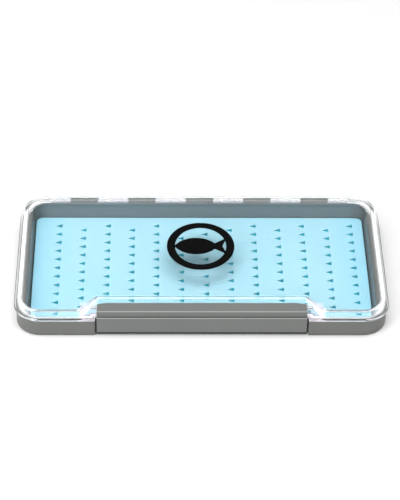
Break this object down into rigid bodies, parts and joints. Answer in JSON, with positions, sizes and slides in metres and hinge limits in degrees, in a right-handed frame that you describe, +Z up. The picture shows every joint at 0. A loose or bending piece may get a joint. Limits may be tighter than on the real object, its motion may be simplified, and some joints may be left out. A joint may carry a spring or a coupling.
{
  "type": "fly box",
  "caption": "Slim waterproof fly box with a clear hinged lid, a front snap latch and a slit silicone insert for holding dry flies.",
  "frame": {"origin": "on the table under the middle of the closed box", "axes": "+X along the long side to the right, -Y towards the latch side, +Y towards the hinge, +Z up through the lid"},
  "size_m": [0.2, 0.103, 0.016],
  "materials": {
    "tray_grey": "fine satin moulded grey ABS",
    "latch_grey": "satin moulded grey ABS",
    "gasket": "smooth translucent silicone cord",
    "adhesive": "thin double-sided film",
    "silicone_blue": "soft matte silicone",
    "pin_steel": "drawn stainless wire",
    "clear_lid": "clear polished polycarbonate",
    "emblem_black": "printed black film"
  },
  "bodies": {
    "tray": {"base_tray": "tray_grey", "rim_gasket": "gasket", "insert_adhesive": "adhesive", "silicone_insert": "silicone_blue", "hinge_pin": "pin_steel"},
    "lid": {"lid_shell": "clear_lid", "lid_emblem": "emblem_black", "latch_pin": "pin_steel"},
    "latch_body": {"latch": "latch_grey"}
  },
  "joints": [
    {"name": "lid_open", "type": "hinge", "parent": "tray", "child": "lid", "pos_m": [0, 0.0495, 0.0106], "axis": [-1, 0, 0], "range_deg": [0, 178]},
    {"name": "latch_swing", "type": "hinge", "parent": "lid", "child": "latch_body", "pos_m": [0, -0.0445, 0.01395], "axis": [-1, 0, 0], "range_deg": [0, 100]}
  ]
}
